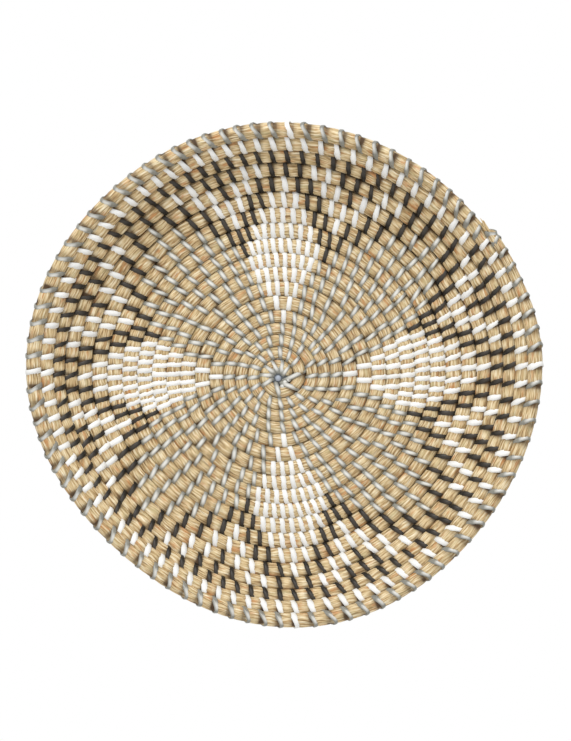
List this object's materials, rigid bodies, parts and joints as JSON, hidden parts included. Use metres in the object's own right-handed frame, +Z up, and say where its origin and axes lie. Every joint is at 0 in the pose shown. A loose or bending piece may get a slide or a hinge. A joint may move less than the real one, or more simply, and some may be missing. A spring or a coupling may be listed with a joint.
{
  "type": "wall basket",
  "caption": "Shallow round wall basket, coiled from a seagrass bundle and sewn with twine that draws four petals and chevrons.",
  "frame": {"origin": "middle of the eye of the coil, on the plane of the wall that the basket's flat back lies on", "axes": "+Y into the wall, -Y out of the bowl's mouth towards the room, +Z up, +X to the right of someone facing the basket"},
  "size_m": [0.3975, 0.0553, 0.3928],
  "materials": {
    "seagrass": "dried seagrass bundle, matt",
    "twine_grey": "round grey plastic twine, satin",
    "twine_white": "white plastic twine, satin",
    "twine_black": "black plastic twine, satin"
  },
  "bodies": {
    "root": {"centre_knot": "twine_grey", "chevron_east_left_black_core": "twine_black", "chevron_east_left_black_outer": "twine_black", "chevron_east_left_white_middle": "twine_white", "chevron_east_right_black_core": "twine_black", "chevron_east_right_black_outer": "twine_black", "chevron_east_right_white_middle": "twine_white", "chevron_north_left_black_core": "twine_black", "chevron_north_left_black_outer": "twine_black", "chevron_north_left_white_middle": "twine_white", "chevron_north_right_black_core": "twine_black", "chevron_north_right_black_outer": "twine_black", "chevron_north_right_white_middle": "twine_white", "chevron_south_left_black_core": "twine_black", "chevron_south_left_black_outer": "twine_black", "chevron_south_left_white_middle": "twine_white", "chevron_south_right_black_core": "twine_black", "chevron_south_right_black_outer": "twine_black", "chevron_south_right_white_middle": "twine_white", "chevron_west_left_black_core": "twine_black", "chevron_west_left_black_outer": "twine_black", "chevron_west_left_white_middle": "twine_white", "chevron_west_right_black_core": "twine_black", "chevron_west_right_black_outer": "twine_black", "chevron_west_right_white_middle": "twine_white", "finishing_stitch_over": "twine_grey", "finishing_stitch_under": "twine_grey", "petal_east_white_twine": "twine_white", "petal_north_white_twine": "twine_white", "petal_south_white_twine": "twine_white", "petal_west_white_twine": "twine_white", "rim_grey_twine": "twine_grey", "rim_white_stitch_east": "twine_white", "rim_white_stitch_north": "twine_white", "rim_white_stitch_south": "twine_white", "rim_white_stitch_west": "twine_white", "seagrass_coil": "seagrass", "second_turn_white_twine": "twine_white", "third_turn_black_twine": "twine_black"}
  },
  "joints": []
}
